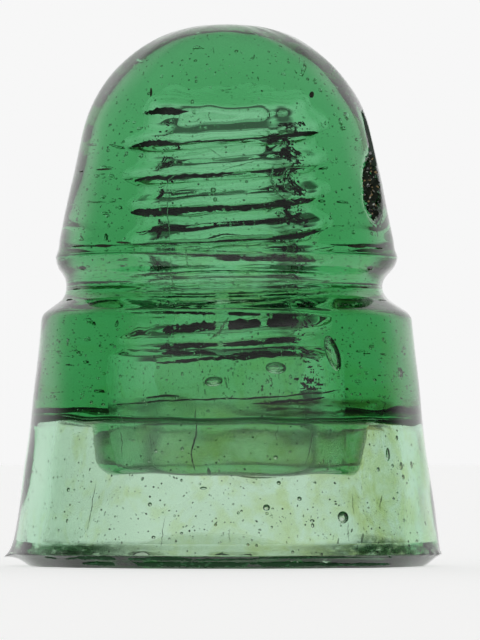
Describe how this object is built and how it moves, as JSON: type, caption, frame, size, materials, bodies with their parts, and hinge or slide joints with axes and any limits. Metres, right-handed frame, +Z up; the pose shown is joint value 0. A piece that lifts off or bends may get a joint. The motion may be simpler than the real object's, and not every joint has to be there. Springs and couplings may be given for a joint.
{
  "type": "pin insulator",
  "caption": "Pressed green glass pin insulator for an open-wire line: round dome with a side wire groove, flared skirt, inner petticoat and a threaded pin hole.",
  "frame": {"origin": "on the axis of the pin hole, in the plane of the rim that the insulator stands on", "axes": "+Z up the axis from the rim to the crown; the part is round about Z apart from its thread"},
  "size_m": [0.083, 0.083, 0.105],
  "materials": {
    "green_glass": "pressed and fire-polished, clear green, full of small seeds"
  },
  "bodies": {
    "root": {"glass_insulator": "green_glass"}
  },
  "joints": []
}
